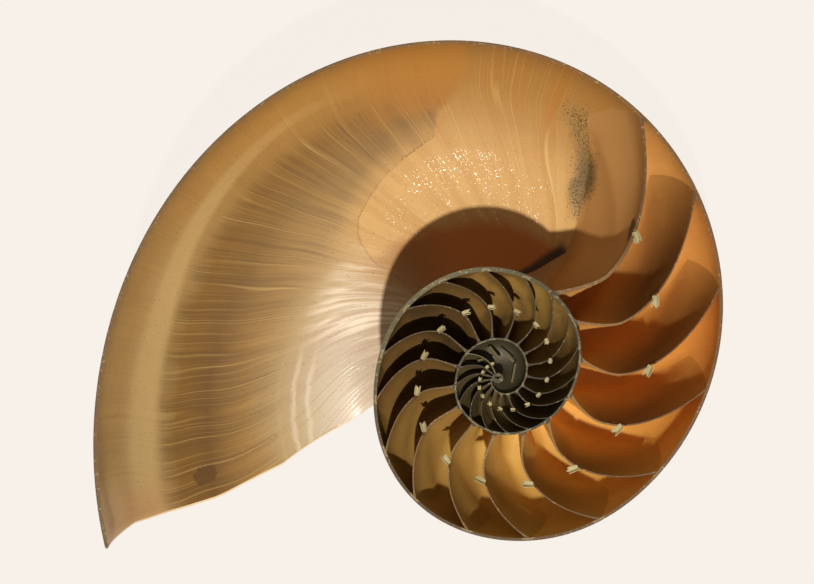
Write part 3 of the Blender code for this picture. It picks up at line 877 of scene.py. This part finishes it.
def bodyWallMaterial():
    look = wallLook
    material, tree, bsdf = newMaterial("bodyWall", look)
    at = readFields(tree, "turn", "rim", "growth", "band", "muscle", "ridge", "seam")
    lines = useGroup(tree, "growthLines", Growth=at["growth"], Rim=at["rim"])
    grain = useGroup(tree, "grain", Size=1.0)
    dust = useGroup(tree, "grain", Size=3.4)
    pearl = useGroup(tree, "pearl", Growth=at["growth"], Rim=at["rim"])
    at.update(blotch=grain["Blotch"], speck=grain["Speck"], dust=dust["Speck"], fine=lines["Fine"],
              pinkShift=pearl["Pink"], greenShift=pearl["Green"], sheenShift=pearl["Sheen"])
    at["shaky"] = shaken(tree, at["rim"], at["blotch"], look["rimShake"])
    at["spiralBeat"] = sums(tree, "FRACT", times(tree, at["shaky"], look["spiralOften"]))

    # the flank towards the mouth, with a painted highlight as a pale stripe under the rim, and faint
    # streaks along the coil
    flank = blend(tree, masked(tree, look, at, "mouth"),
                  *[ramp(tree, at["shaky"], look[stops]) for stops in ("bodyStops", "mouthStops")])
    streak = masked(tree, look, at, "streak")
    for name, least, most, over in look["flankLines"]:
        share = times(tree, lines[name], span(tree, streak, 0.0, 1.0, least, most))
        flank = blend(tree, share, flank, look[over])
    # painted highlight: a lighter stripe under the rim, where the wall curves
    fromBand = sums(tree, "ABSOLUTE", at["band"])
    at["bandPlace"] = sums(tree, "DIVIDE", fromBand, masked(tree, look, at, "bandWidth"))
    # the sheen mask lays painted sheen, white, near the coil
    flank = overlaid(tree, look, at, flank, ("band", "band"), ("pink", "pink"), ("green", "green"),
                     ("sheen", "white"), ("lip", "lip"), ("flush", "lipFlush"), ("spiral", "white"),
                     ("amber", "amber"))

    # the wall beside the last septum, with the muscle's scar and the fine ridge, whose crest has a painted
    # highlight and whose foot has painted shade
    back = ramp(tree, at["shaky"], look["backStops"])
    for name, share, over in look["backLines"]:
        back = blend(tree, times(tree, lines[name], share), back, look[over])
    at["scarPlace"] = shaken(tree, at["muscle"], at["blotch"], look["scarShake"])
    at["softPlace"] = sums(tree, "DIVIDE", at["scarPlace"], masked(tree, look, at, "scarSoftness"))
    at["crest"] = masked(tree, look, at, "crest")
    flank = blend(tree, masked(tree, look, at, "paler"), flank, back)
    colour = blend(tree, masked(tree, look, at, "back"), flank, back)
    colour = overlaid(tree, look, at, colour, ("scarEdge", "bandDark"), ("scarDots", "bandDark"),
                      ("ridgeFoot", "amber"), ("ridgeLine", "line"))

    # browner colour under the coil where its shadow falls, partly the wall's own brown and partly painted
    # shade, with painted shade darkest in the corner by the last septum
    brownAndShade = blend(tree, masked(tree, look, at, "underAlong"), look["underCoil"], look["underMouth"])
    colour = blend(tree, masked(tree, look, at, "under"), colour, brownAndShade)
    colour = overlaid(tree, look, at, colour, ("corner", "creaseShade"))

    # the stain beside the septum: a soft olive halo, fine specks and a denser core
    at["stain"] = masked(tree, look, at, "stain")
    thick, bare = look["stainCover"]
    at["stainCover"] = sums(tree, "MULTIPLY_ADD", at["stain"], thick,
                            sums(tree, "SUBTRACT", at["dust"], bare))
    spotTurn, spotRim = [away(tree, at[name], *place)
                         for name, place in zip(("turn", "rim"), look["spotAt"])]
    spot = sums(tree, "MULTIPLY_ADD", spotTurn, spotTurn, times(tree, spotRim, spotRim))
    at["spotPlace"] = shaken(tree, spot, at["speck"], look["spotRagged"])
    # the scar's mask, also for the painted glints, white specks laid on last
    at["scar"] = masked(tree, look, at, "scar")
    colour = overlaid(tree, look, at, colour, ("halo", "stainHalo"), ("stainSpecks", "stain"),
                      ("stainCore", "stain"), ("spot", "spot"), ("loose", "bandDark"), ("fleck", "fleck"))
    feed(tree, bsdf.inputs["Base Color"], colour)

    # satin on the flank, pearl near the coil, wet glints over the scar
    shiny, wet = masked(tree, look, at, "shiny"), masked(tree, look, at, "wet")
    rough = span(tree, shiny, 0.0, 1.0, look["roughness"], look["pearlRoughness"])
    feed(tree, bsdf.inputs["Roughness"], rough)
    coat = sums(tree, "MULTIPLY_ADD", shiny, look["pearlCoat"], wet, clamp=True)
    feed(tree, bsdf.inputs["Coat Weight"], coat)
    relief = [(lines[name], weight) for name, weight in look["relief"]]
    relief.append((at["crest"], look["crestRelief"]))
    normal = bump(tree, weighed(tree, *relief), look["lineBump"])
    normal = bump(tree, grain["Grain"], look["grainBump"], normal)
    feed(tree, bsdf.inputs["Normal"], normal)
    beads = bump(tree, times(tree, dust["Blotch"], at["scar"]), look["wetBump"], normal)
    feed(tree, bsdf.inputs["Coat Normal"], beads)
    return material


septumLook = {
    "middle": (178, 131, 78),
    "edge": (128, 88, 46),
    # a bright amber spot: painted light shining through the thin shell
    "spot": (236, 160, 66),
    "stain": (62, 50, 28),
    # painted shade of the siphuncle's hole
    "bore": (12, 9, 8),
    "light": (192, 148, 92),
    "roughness": 0.5,
    "stainCover": (0.26, 0.68),
    "blotchBump": (0.2, 0.20),
    "grainBump": (0.12, 0.05),
    "masks": {
        "middle": (("span", "across", 0.02, 0.45), ("span", "across", 1.30, 0.85)),
        "light": ("blotch", 0.22),
        "edge": (("span", "flank", 0.11, 0.0, 0.0, 0.7),),
        # painted light: the bright spot where light shines through the thin shell
        "spot": (("hill", "across", 0.07, 0.07), ("hill", "flank", 0.15, 0.10), 0.9),
        # the stain reaches a little over from the wall
        "stain": (("span", "across", 0.90, 1.01), ("hill", "rim", 0.745, 0.16)),
        "stainSpecks": (("span", "stainCover", 0.0, 0.10, 0.0, 0.7),),
        "stainCore": (("span", "stain", 0.3, 0.9), 0.75),
        # painted shade: the siphuncle's hole painted nearly black
        "bore": (("span", "bore", 0.50, 0.62),),
    },
}


def lastSeptumMaterial():
    look = septumLook
    material, tree, bsdf = newMaterial("lastSeptum", look)
    at = readFields(tree, "across", "flank", "rim", "bore")
    grain = useGroup(tree, "grain", Size=1.0)
    dust = useGroup(tree, "grain", Size=3.0)
    at["blotch"] = grain["Blotch"]
    at["stain"] = masked(tree, look, at, "stain")
    thick, bare = look["stainCover"]
    at["stainCover"] = sums(tree, "MULTIPLY_ADD", at["stain"], thick,
                            sums(tree, "SUBTRACT", dust["Speck"], bare))
    colour = blend(tree, masked(tree, look, at, "middle"), look["edge"], look["middle"])
    colour = overlaid(tree, look, at, colour, ("light", "light"), ("edge", "edge"), ("spot", "spot"),
                      ("stainSpecks", "stain"), ("stainCore", "stain"), ("bore", "bore"))
    feed(tree, bsdf.inputs["Base Color"], colour)
    normal = bump(tree, grain["Blotch"], look["blotchBump"])
    feed(tree, bsdf.inputs["Normal"], bump(tree, grain["Grain"], look["grainBump"], normal))
    return material


chamberLook = {
    # colours by turn, from the centre to the last chamber
    "stops": ((-900.0, 60, 56, 33), (-604.0, 80, 69, 46), (-545.0, 124, 107, 68), (-490.0, 110, 94, 56),
              (-450.0, 154, 128, 74), (-400.0, 86, 66, 37), (-361.0, 120, 95, 52), (-290.0, 158, 125, 66),
              (-258.0, 138, 106, 56), (-222.0, 76, 57, 30), (-170.0, 120, 92, 48), (-122.0, 186, 150, 78),
              (-74.0, 226, 184, 94), (-30.0, 250, 192, 94), (10.0, 240, 171, 81), (55.0, 228, 172, 96)),
    "deep": (110, 60, 20),
    "shade": (78, 40, 14),
    "streak": (244, 190, 112),
    # near black: painted shade in the old chambers and the siphuncle's holes, and darker blotches further
    # in
    "nearBlack": (28, 28, 18),
    "roughness": 0.5,
    "coat": 0.05,
    "lineBump": (0.15, 0.12),
    "grainBump": (0.12, 0.05),
    "masks": {
        "patches": ("blotch", 0.18),
        "streak": ("fine", ("span", "turn", -250.0, -100.0), 0.10),
        "rimSide": (("span", "across", 0.70, 1.0, 0.0, 0.15), ("span", "turn", -250.0, -100.0)),
        "coilSide": (("span", "across", 0.25, 0.0, 0.0, 0.40), ("span", "turn", -250.0, -100.0)),
        # painted shade darkens the old chambers, most of all by their outer wall
        "outerWallShade": (("span", "turn", -330.0, -430.0), ("span", "across", 0.25, 0.85, 0.05, 0.6)),
        "dull": (("span", "turn", -150.0, -215.0), ("span", "blotch", 0.2, 0.9, 0.0, 0.35)),
        "shade": (("span", "bore", 0.0, 0.38, 0.0, 0.9), ("span", "turn", -160.0, -60.0)),
        # painted shade: the siphuncle's holes and the pit at the hub painted near black
        "bore": (("span", "bore", 0.48, 0.66),),
        "loose": (("span", "speck", 0.80, 0.84), 0.4),
    },
}


def chamberMaterial():
    look = chamberLook
    material, tree, bsdf = newMaterial("chamber", look)
    at = readFields(tree, "turn", "rim", "across", "bore")
    lines = useGroup(tree, "growthLines", Growth=at["turn"], Rim=at["rim"])
    grain = useGroup(tree, "grain", Size=1.3)
    at.update(blotch=grain["Blotch"], speck=grain["Speck"], fine=lines["Fine"])
    colour = overlaid(tree, look, at, rampAlong(tree, at["turn"], look["stops"]), ("patches", "deep"),
                      ("streak", "streak"), ("rimSide", "deep"), ("coilSide", "deep"))
    # painted shade by the outer wall of the old chambers, and darker blotches, towards near black
    nearBlack = sums(tree, "MAXIMUM", masked(tree, look, at, "outerWallShade"), masked(tree, look, at, "dull"))
    colour = blend(tree, nearBlack, colour, look["nearBlack"])
    colour = overlaid(tree, look, at, colour, ("shade", "shade"), ("bore", "nearBlack"), ("loose", "deep"))
    feed(tree, bsdf.inputs["Base Color"], colour)
    normal = bump(tree, sums(tree, "ADD", lines["Fine"], grain["Blotch"]), look["lineBump"])
    feed(tree, bsdf.inputs["Normal"], bump(tree, grain["Grain"], look["grainBump"], normal))
    return material


sawnLook = {
    # colours by turn of the wall's edge and of the septa's
    "wall": ((-900.0, 60, 55, 37), (-560.0, 62, 58, 38), (-300.0, 68, 64, 42), (-240.0, 104, 99, 70),
             (-170.0, 82, 72, 44), (-120.0, 80, 60, 30), (-60.0, 98, 64, 26), (30.0, 124, 80, 36),
             (100.0, 130, 94, 48), (204.0, 106, 80, 44)),
    "septum": ((-900.0, 38, 34, 21), (-500.0, 38, 34, 21), (-330.0, 50, 41, 23), (-200.0, 84, 62, 32),
               (-100.0, 136, 102, 54), (0.0, 144, 105, 57), (60.0, 122, 90, 48), (204.0, 118, 86, 46)),
    "septumHigh": (92, 60, 26),
    "gusset": (176, 164, 122),
    "outerLine": (62, 42, 20),
    "chalk": (214, 196, 150),
    "roughness": 0.55,
    "grainBump": (0.4, 0.06),
    "masks": {
        "septumHigh": (("span", "rim", 0.52, 0.72), ("span", "turn", -150.0, -70.0, 0.0, 0.85)),
        "wall": (("span", "wall", 0.0, 0.9),),
        "gusset": (("hill", "wall", 0.40, 0.40), ("span", "turn", 20.0, -60.0), 0.6),
        "outerLine": (("span", "across", 0.55, 1.0), ("span", "turn", -200.0, -150.0), 0.7),
        "chips": (("span", "speck", 0.60, 0.68), 0.35),
        "dirt": ("blotch", 0.3),
    },
}


def sawnMaterial():
    look = sawnLook
    material, tree, bsdf = newMaterial("sawn", look)
    at = readFields(tree, "turn", "flank", "across", "rim")
    at["wall"] = at["flank"]  # on the sawn face this field is 1 at walls and 0 at septa
    grain = useGroup(tree, "grain", Size=2.0)
    at.update(blotch=grain["Blotch"], speck=grain["Speck"])
    septum, wall = [rampAlong(tree, at["turn"], look[name]) for name in ("septum", "wall")]
    septum = overlaid(tree, look, at, septum, ("septumHigh", "septumHigh"))
    colour = blend(tree, masked(tree, look, at, "wall"), septum, wall)
    colour = overlaid(tree, look, at, colour, ("gusset", "gusset"), ("outerLine", "outerLine"),
                      ("chips", "chalk"), ("dirt", "outerLine"))
    feed(tree, bsdf.inputs["Base Color"], colour)
    feed(tree, bsdf.inputs["Normal"], bump(tree, grain["Grain"], look["grainBump"]))
    return material


outsideLook = {
    "cream": (226, 206, 172),
    "warm": (206, 168, 120),
    "flame": (142, 62, 26),
    "flameDark": (96, 38, 16),
    "callus": (226, 214, 190),
    "brownRim": (120, 84, 44),
    "roughness": 0.36,
    "coat": 0.35,
    "coatRoughness": 0.15,
    "relief": (("Bands", 0.6), ("Fine", 0.6)),
    "lineBump": (0.35, 0.15),
    "grainBump": (0.1, 0.05),
    # red-brown flames: how far they lean back, how often along and across, and how their noise is made
    "flameLean": 26.0,
    "flameOften": (0.105, 2.2),
    "flameNoise": (1.0, 2.0, 0.5, 0.35),
    "flankFade": 0.10,
    "masks": {
        "warm": ("blotch", 0.5),
        "lines": ("fine", 0.25),
        # the noise above this is flame: it rises towards the mouth and the umbilicus
        "flameFrom": (("span", "turn", 0.0, 110.0, 0.50, 0.85),),
        "flankFade": (("span", "flank", 0.45, 0.95),),
        "flame": (("span", "flame", -0.01, 0.03),),
        "flameDark": (("span", "flame", 0.03, 0.12), 0.7),
        "callus": (("span", "rim", 0.16, 0.09),),
        "sawnSide": (("span", "flank", 0.05, 0.0), 0.75),
    },
}


def outsideMaterial():
    look = outsideLook
    material, tree, bsdf = newMaterial("outside", look)
    at = readFields(tree, "turn", "flank", "growth", "rim")
    lines = useGroup(tree, "growthLines", Growth=at["growth"], Rim=at["flank"])
    grain = useGroup(tree, "grain", Size=0.6)
    at.update(blotch=grain["Blotch"], fine=lines["Fine"])
    along, across = look["flameOften"]
    lean = sums(tree, "MULTIPLY_ADD", at["flank"], look["flameLean"], at["turn"])
    place = feedAll(tree, addNode(tree, "ShaderNodeCombineXYZ"),
                    times(tree, lean, along), times(tree, at["flank"], across))
    edge = sums(tree, "MULTIPLY_ADD", masked(tree, look, at, "flankFade"), look["flankFade"],
                masked(tree, look, at, "flameFrom"))
    at["flame"] = sums(tree, "SUBTRACT", noise(tree, place, *look["flameNoise"]), edge)
    colour = blend(tree, masked(tree, look, at, "warm"), look["cream"], look["warm"])
    colour = overlaid(tree, look, at, colour, ("lines", "warm"), ("flame", "flame"),
                      ("flameDark", "flameDark"), ("callus", "callus"), ("sawnSide", "brownRim"))
    feed(tree, bsdf.inputs["Base Color"], colour)
    relief = weighed(tree, *[(lines[name], weight) for name, weight in look["relief"]])
    normal = bump(tree, relief, look["lineBump"])
    feed(tree, bsdf.inputs["Normal"], bump(tree, grain["Grain"], look["grainBump"], normal))
    return material


coilLook = {
    "dark": (96, 58, 30),
    "warm": (160, 108, 60),
    "mouth": (50, 34, 22),
    "roughness": 0.4,
    "coat": 0.25,
    "lineBump": (0.3, 0.1),
    "masks": {
        "lines": ("fine", 0.35),
        "mouth": (("span", "turn", 120.0, 178.0, 0.0, 0.85),),
    },
}


def coilBackMaterial():  # the older whorl's outside, where the body chamber covers it
    look = coilLook
    material, tree, bsdf = newMaterial("coilBack", look)
    at = readFields(tree, "turn", "rim")
    lines = useGroup(tree, "growthLines", Growth=at["turn"], Rim=at["rim"])
    grain = useGroup(tree, "grain", Size=0.8)
    at["fine"] = lines["Fine"]
    colour = blend(tree, grain["Blotch"], look["dark"], look["warm"])
    colour = overlaid(tree, look, at, colour, ("lines", "dark"), ("mouth", "mouth"))
    feed(tree, bsdf.inputs["Base Color"], colour)
    feed(tree, bsdf.inputs["Normal"], bump(tree, lines["Fine"], look["lineBump"]))
    return material


chalkLook = {
    "necks": ((184, 174, 134), (98, 80, 46)),
    "tubes": ((112, 102, 66), (56, 50, 30)),
    "roughness": 0.75,
    "dirt": 0.45,
    "speckBump": (0.5, 0.08),
}


def chalkMaterial(name):
    look = chalkLook
    material, tree, bsdf = newMaterial(name, look)
    grain = useGroup(tree, "grain", Size=3.0)
    dirt = times(tree, grain["Blotch"], look["dirt"])
    feed(tree, bsdf.inputs["Base Color"], blend(tree, dirt, *look[name]))
    feed(tree, bsdf.inputs["Normal"], bump(tree, grain["Speck"], look["speckBump"]))
    return material


def placeMesh(mesh, placement, materials, weld=0.0):  # outward normals, smooth faces, and its object
    work = bmesh.new()
    work.from_mesh(mesh)
    if weld:
        bmesh.ops.remove_doubles(work, verts=work.verts, dist=weld)
    openEdges = sum(len(e.link_faces) != 2 for e in work.edges)
    print(mesh.name + ": faces", len(work.faces), "open edges", openEdges)
    bmesh.ops.recalc_face_normals(work, faces=work.faces)
    work.to_mesh(mesh)
    work.free()
    mesh.transform(placement)
    mesh.shade_smooth()
    mesh.set_sharp_from_angle(angle=math.radians(meshSteps["sharpDegrees"]))
    for material in materials:
        mesh.materials.append(material)
    piece = bpy.data.objects.new(mesh.name, mesh)
    bpy.context.scene.collection.objects.link(piece)
    return piece


def buildShell(placement, materials):
    print("shell: outside and body chamber")
    outline = buildOutside()
    print("shell: chambers")
    holes = [buildChamber(a, b) for a, b in zip(septumForm["turns"], septumForm["turns"][1:])]
    holes += [buildCore(), buildPit()]
    print("shell: sawn face")
    fillSawnFace(outline, holes)
    mesh = bpy.data.meshes.new("nautilusShell")
    mesh.from_pydata(np.concatenate(skin["points"]).tolist(), [], skin["faces"])
    mesh.polygons.foreach_set("material_index", skin["slots"])
    corners = np.empty(len(mesh.loops), np.int32)
    mesh.loops.foreach_get("vertex_index", corners)
    values = dict(zip(valueNames, np.concatenate(skin["values"]).T))
    values.update(wallFields(values["turn"], values["rim"], values["flank"]))
    for name, numbers in values.items():
        store = mesh.attributes.new(name, "FLOAT", "CORNER")
        store.data.foreach_set("value", numbers[corners].astype(np.float32))
    return placeMesh(mesh, placement, materials, meshSteps["weldMm"] * mm)


def tubeMesh(name, halfTubes, placement, material):  # tubes sawn in half along their length
    points, faces, up = [], [], np.array((0.0, 0.0, 1.0))
    for start, end, outer, inner, flare in halfTubes:
        along = np.linspace(0, 1, neckForm["alongSteps"] + 1)
        angles = np.linspace(math.pi, 2 * math.pi, neckForm["aroundSteps"] + 1)
        axis = (end - start) / np.linalg.norm(end - start)
        side = np.cross(axis, up)
        rings = []
        for share in along:
            wide = 1 + flare * (1 - share) ** neckForm["flarePower"]
            turned = start[0] * neckForm["teethTurn"]
            few, many = neckForm["teeth"]
            small = neckForm["smallTeeth"] * np.sin(angles * many - turned * 2)
            teeth = np.sin(angles * few + turned) + small
            ragged = neckForm["ragged"] * outer * teeth * share ** neckForm["raggedPower"]
            ring = []
            for radius, order in ((outer * wide, 1), (inner * wide, -1)):
                middle = start + (end - start) * share
                arc = (middle + radius * np.cos(angles)[:, None] * side
                       + radius * np.sin(angles)[:, None] * up + ragged[:, None] * axis)
                ring.append(arc[::order])
            rings.append(np.concatenate(ring))
        count, base = len(rings[0]), len(points)
        for ring in rings:
            points.extend(ring.tolist())
        for i in range(len(rings) - 1):
            for j in range(count):
                k = (j + 1) % count
                a, b = base + i * count, base + (i + 1) * count
                faces.append((a + j, a + k, b + k, b + j))
        for i, turned in ((0, 1), (len(rings) - 1, -1)):
            for j in range(count // 2 - 1):
                a = base + i * count
                quad = (a + j, a + count - 1 - j, a + count - 2 - j, a + j + 1)
                faces.append(quad[::turned])
    mesh = bpy.data.meshes.new(name)
    mesh.from_pydata(points, [], faces)
    return placeMesh(mesh, placement, [material])


def neckRoot(back):
    across = neckValue("place", back)
    turn = back + septumBow(back, across, 0.0)
    return hollowPoint(turn, across, 0.0)


def siphuncleNecks():
    roots = [neckRoot(turn) for turn in septumForm["turns"]]
    tubes = []
    nextRoots = roots[1:] + [neckRoot(neckForm["beforeFirst"])]
    for back, root, further in zip(septumForm["turns"], roots, nextRoots):
        axis = (further - root) / np.linalg.norm(further - root)
        outer = neckValue("radiusMm", back) * mm
        end = root + axis * neckValue("lengthMm", back) * mm
        lower = np.array((0.0, 0.0, -neckForm["sinkMm"] * mm))
        wall = neckForm["wallMm"] * outer / neckForm["radiusMm"][-1]
        tubes.append((root + lower, end + lower, outer, outer - wall, neckForm["taper"]))
    return tubes


looseTubes = {
    # broken pieces of the siphuncle lying in the hollow at the centre: both ends in mm, radius in mm
    "ends": (((-2.5, 8.6, -1.6), (0.5, 4.9, -1.9)), ((0.9, 7.6, -1.2), (4.5, 4.5, -1.5)),
             ((4.95, 4.0, -1.3), (3.95, -1.3, -1.4)), ((-5.6, 4.7, -0.8), (-3.9, 5.3, -0.8))),
    "radiusMm": (0.56, 0.28, 0.26, 0.30),
    "bore": 0.55,
}

print("frame: placing the shell on the solid")
placement = findPlacement()

print("materials")
makeGrowthLines()
makeGrain()
makePearl()
makers = (outsideMaterial, bodyWallMaterial, coilBackMaterial, lastSeptumMaterial, chamberMaterial,
          sawnMaterial)
shell = buildShell(placement, [make() for make in makers])
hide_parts("nautilus_shell_half")
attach(shell, "root")

print("siphuncle: necks and loose tubes")
necks = tubeMesh("siphuncleNecks", siphuncleNecks(), placement, chalkMaterial("necks"))
sticks = [(np.array(a) * mm, np.array(b) * mm, r * mm, looseTubes["bore"] * r * mm, 0.0)
          for (a, b), r in zip(looseTubes["ends"], looseTubes["radiusMm"])]
tubes = tubeMesh("looseTubes", sticks, placement, chalkMaterial("tubes"))
for piece in (necks, tubes):
    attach(piece, "root")

photoView = {
    "metresPerPixel": 0.2796 * mm,
    "centrePixel": (498.0, 378.0),  # the coil's axis in the photograph
    "framePixels": (814.0, 584.0),
    "lensMm": 100.0,
    "sensorMm": 36.0,
}
studio = {
    "floorSize": 6,
    "floorGap": 0.2 * mm,
    "floorRoughness": 0.9,
    "floorColour": (0.012, 0.012, 0.012),
    "floorGlow": (1.0, 0.94, 0.875),
    "floorGlowStrength": 0.90,
    "skyColour": (1.0, 0.86, 0.66),
    "skyStrength": 0.22,
    "sunColour": (1.0, 0.93, 0.80),
    "sunStrength": 3.4,
    "sunWidth": 2.0,
    "sunFrom": (-0.03, -0.47, 0.88),
}


def addCamera():
    view = photoView
    data = bpy.data.cameras.new("camera")
    data.lens, data.sensor_width, data.sensor_fit = view["lensMm"], view["sensorMm"], "HORIZONTAL"
    scale = view["metresPerPixel"]
    x = (view["framePixels"][0] / 2 - view["centrePixel"][0]) * scale
    y = (view["centrePixel"][1] - view["framePixels"][1] / 2) * scale
    distance = view["framePixels"][0] * scale * view["lensMm"] / view["sensorMm"]
    camera = bpy.data.objects.new("camera", data)
    camera.matrix_world = placement @ Matrix.Translation((x, y, distance))
    bpy.context.scene.collection.objects.link(camera)
    bpy.context.scene.camera = camera


def addFloor():
    bpy.ops.mesh.primitive_plane_add(size=studio["floorSize"], location=(0, 0, -studio["floorGap"]))
    floor = bpy.context.object
    floor.name = "floor"
    material, tree, bsdf = newMaterial("paleFloor", {"roughness": studio["floorRoughness"]})
    bsdf.inputs["Base Color"].default_value = (*studio["floorColour"], 1)
    bsdf.inputs["Emission Color"].default_value = (*studio["floorGlow"], 1)
    bsdf.inputs["Emission Strength"].default_value = studio["floorGlowStrength"]
    floor.data.materials.append(material)


def addLights():
    world = bpy.data.worlds.new("studio")
    bpy.context.scene.world = world
    world.use_nodes = True
    sky = world.node_tree.nodes["Background"]
    sky.inputs["Color"].default_value = (*studio["skyColour"], 1)
    sky.inputs["Strength"].default_value = studio["skyStrength"]
    data = bpy.data.lights.new("key", "SUN")
    data.energy, data.color = studio["sunStrength"], studio["sunColour"]
    data.angle = math.radians(studio["sunWidth"])
    key = bpy.data.objects.new("key", data)
    aim = placement.to_3x3() @ Vector(studio["sunFrom"])
    key.rotation_euler = aim.to_track_quat("Z", "Y").to_euler()
    bpy.context.scene.collection.objects.link(key)
    bpy.context.scene.view_settings.view_transform = "Standard"


print("studio: floor, lights and camera")
addFloor()
addLights()
addCamera()
